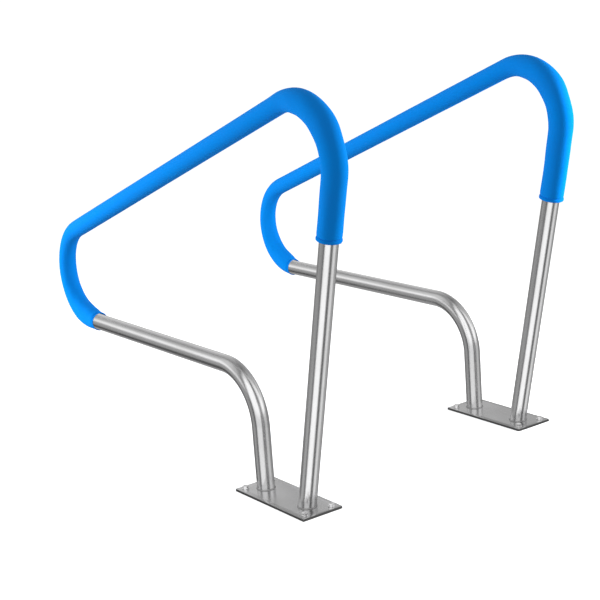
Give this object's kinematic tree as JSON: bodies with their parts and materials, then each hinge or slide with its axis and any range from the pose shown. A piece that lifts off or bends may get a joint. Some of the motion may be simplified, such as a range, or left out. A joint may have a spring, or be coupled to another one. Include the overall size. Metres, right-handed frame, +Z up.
{
  "type": "pool handrail",
  "caption": "Pair of deck-mounted looped stainless pool handrails, each one bent tube on a bolted base plate, with a zip-on blue grip cover.",
  "frame": {"origin": "centre of the near rail's base plate on its underside, which is the deck surface", "axes": "+Z up; the rails reach towards the pool along -X; the far rail stands along +Y from the near one"},
  "size_m": [1.3877, 0.849, 1.0012],
  "materials": {
    "rail_steel": "satin polished stainless tube",
    "plate_steel": "polished stainless plate",
    "weld_steel": "ground and polished weld",
    "fastener_steel": "bright stainless",
    "cover_cloth": "foam-backed knit, azure, matte with a soft sheen",
    "cuff_cloth": "folded and stitched knit, azure",
    "zip_tape_cloth": "woven tape, azure",
    "zip_nylon": "nylon coil, azure",
    "zip_metal": "plated die casting"
  },
  "bodies": {
    "handrails": {"near_rail_tube": "rail_steel", "near_base_plate": "plate_steel", "near_tall_leg_weld": "weld_steel", "near_short_leg_weld": "weld_steel", "near_deck_screws": "fastener_steel", "near_washers": "fastener_steel", "near_grip_cover": "cover_cloth", "near_tall_leg_cuff": "cuff_cloth", "near_far_bend_cuff": "cuff_cloth", "near_zip_tapes": "zip_tape_cloth", "near_zip_coils": "zip_nylon", "near_zip_stops": "zip_metal", "far_rail_tube": "rail_steel", "far_base_plate": "plate_steel", "far_tall_leg_weld": "weld_steel", "far_short_leg_weld": "weld_steel", "far_deck_screws": "fastener_steel", "far_washers": "fastener_steel", "far_grip_cover": "cover_cloth", "far_tall_leg_cuff": "cuff_cloth", "far_far_bend_cuff": "cuff_cloth", "far_zip_tapes": "zip_tape_cloth", "far_zip_coils": "zip_nylon", "far_zip_stops": "zip_metal"},
    "near_zip_slider": {"near_zip_slider": "zip_metal"},
    "near_zip_pull": {"near_zip_pull": "zip_metal"},
    "far_zip_slider": {"far_zip_slider": "zip_metal"},
    "far_zip_pull": {"far_zip_pull": "zip_metal"}
  },
  "joints": [
    {"name": "near_zip_slide", "type": "slide", "parent": "handrails", "child": "near_zip_slider", "axis": [0.2334, 0, 0.9724], "range_m": [0, 0.1]},
    {"name": "near_pull_swing", "type": "hinge", "parent": "near_zip_slider", "child": "near_zip_pull", "pos_m": [0.23159, 0.03055, 0.65409], "axis": [0.9724, 0, -0.2334], "range_deg": [0, 165]},
    {"name": "far_zip_slide", "type": "slide", "parent": "handrails", "child": "far_zip_slider", "axis": [0.2334, 0, 0.9724], "range_m": [0, 0.1]},
    {"name": "far_pull_swing", "type": "hinge", "parent": "far_zip_slider", "child": "far_zip_pull", "pos_m": [0.14895, 0.76955, 0.61811], "axis": [0.9724, 0, -0.2334], "range_deg": [0, 165]}
  ]
}
